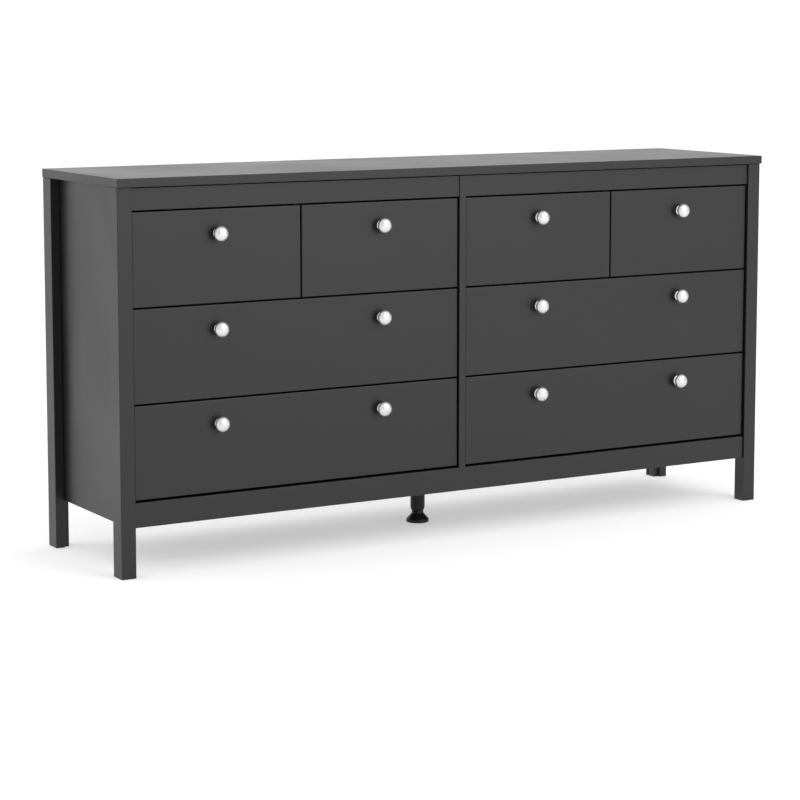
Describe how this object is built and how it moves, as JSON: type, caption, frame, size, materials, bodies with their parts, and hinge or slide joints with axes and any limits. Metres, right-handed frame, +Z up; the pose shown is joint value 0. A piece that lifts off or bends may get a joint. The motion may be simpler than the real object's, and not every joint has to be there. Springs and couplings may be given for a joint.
{
  "type": "dresser with drawers",
  "caption": "Long low matt black dresser in two bays, small drawers over wide drawers, domed metal knobs, square legs and a screw foot under the middle.",
  "frame": {"origin": "on the floor, at the centre of the box that holds the whole closed dresser", "axes": "+X along the dresser towards its right end seen from the front, the drawer fronts face -Y, +Z up"},
  "size_m": [1.594, 0.396, 0.797],
  "materials": {
    "black_board": "matt black melamine foil on particle board",
    "back_board": "dark painted hardboard",
    "drawer_wrap": "grey foil on folded particle board",
    "drawer_bottom": "grey painted hardboard",
    "knob_metal": "satin chrome plate",
    "black_plastic": "moulded black plastic",
    "runner_steel": "epoxy-coated pressed steel",
    "screw_steel": "zinc-plated steel"
  },
  "bodies": {
    "cabinet": {"top_panel": "black_board", "side_panel_left": "black_board", "side_panel_right": "black_board", "leg_front_left": "black_board", "leg_front_right": "black_board", "leg_rear_left": "black_board", "leg_rear_right": "black_board", "center_partition": "black_board", "top_rail_left": "black_board", "top_rail_right": "black_board", "bottom_rail_front": "black_board", "bottom_rail_rear": "black_board", "top_rail_rear": "black_board", "bottom_panel": "black_board", "divider_left": "black_board", "divider_right": "black_board", "divider_shelf_left": "black_board", "divider_shelf_right": "black_board", "back_panel_left": "back_board", "back_panel_right": "back_board", "support_tube": "black_plastic"},
    "screw_foot": {"support_foot": "black_plastic"},
    "small_drawer_left_outer": {"small_front_left_outer": "black_board", "small_wrap_left_outer": "drawer_wrap", "small_bottom_left_outer": "drawer_bottom", "small_knob_left_outer": "knob_metal"},
    "small_drawer_left_inner": {"small_front_left_inner": "black_board", "small_wrap_left_inner": "drawer_wrap", "small_bottom_left_inner": "drawer_bottom", "small_knob_left_inner": "knob_metal"},
    "wide_drawer_left_upper": {"wide_front_left_upper": "black_board", "wide_wrap_left_upper": "drawer_wrap", "wide_bottom_left_upper": "drawer_bottom", "wide_knob_left_upper_outer": "knob_metal", "wide_knob_left_upper_inner": "knob_metal"},
    "wide_drawer_left_lower": {"wide_front_left_lower": "black_board", "wide_wrap_left_lower": "drawer_wrap", "wide_bottom_left_lower": "drawer_bottom", "wide_knob_left_lower_outer": "knob_metal", "wide_knob_left_lower_inner": "knob_metal"},
    "small_drawer_right_outer": {"small_front_right_outer": "black_board", "small_wrap_right_outer": "drawer_wrap", "small_bottom_right_outer": "drawer_bottom", "small_knob_right_outer": "knob_metal"},
    "small_drawer_right_inner": {"small_front_right_inner": "black_board", "small_wrap_right_inner": "drawer_wrap", "small_bottom_right_inner": "drawer_bottom", "small_knob_right_inner": "knob_metal"},
    "wide_drawer_right_upper": {"wide_front_right_upper": "black_board", "wide_wrap_right_upper": "drawer_wrap", "wide_bottom_right_upper": "drawer_bottom", "wide_knob_right_upper_outer": "knob_metal", "wide_knob_right_upper_inner": "knob_metal"},
    "wide_drawer_right_lower": {"wide_front_right_lower": "black_board", "wide_wrap_right_lower": "drawer_wrap", "wide_bottom_right_lower": "drawer_bottom", "wide_knob_right_lower_outer": "knob_metal", "wide_knob_right_lower_inner": "knob_metal"}
  },
  "joints": [
    {"name": "support_foot_screw", "type": "slide", "parent": "cabinet", "child": "screw_foot", "axis": [0, 0, 1], "range_m": [0, 0.006]},
    {"name": "small_drawer_left_outer_slide", "type": "slide", "parent": "cabinet", "child": "small_drawer_left_outer", "axis": [0, -1, 0], "range_m": [0, 0.24]},
    {"name": "small_drawer_left_inner_slide", "type": "slide", "parent": "cabinet", "child": "small_drawer_left_inner", "axis": [0, -1, 0], "range_m": [0, 0.24]},
    {"name": "wide_drawer_left_upper_slide", "type": "slide", "parent": "cabinet", "child": "wide_drawer_left_upper", "axis": [0, -1, 0], "range_m": [0, 0.24]},
    {"name": "wide_drawer_left_lower_slide", "type": "slide", "parent": "cabinet", "child": "wide_drawer_left_lower", "axis": [0, -1, 0], "range_m": [0, 0.24]},
    {"name": "small_drawer_right_outer_slide", "type": "slide", "parent": "cabinet", "child": "small_drawer_right_outer", "axis": [0, -1, 0], "range_m": [0, 0.24]},
    {"name": "small_drawer_right_inner_slide", "type": "slide", "parent": "cabinet", "child": "small_drawer_right_inner", "axis": [0, -1, 0], "range_m": [0, 0.24]},
    {"name": "wide_drawer_right_upper_slide", "type": "slide", "parent": "cabinet", "child": "wide_drawer_right_upper", "axis": [0, -1, 0], "range_m": [0, 0.24]},
    {"name": "wide_drawer_right_lower_slide", "type": "slide", "parent": "cabinet", "child": "wide_drawer_right_lower", "axis": [0, -1, 0], "range_m": [0, 0.24]}
  ]
}
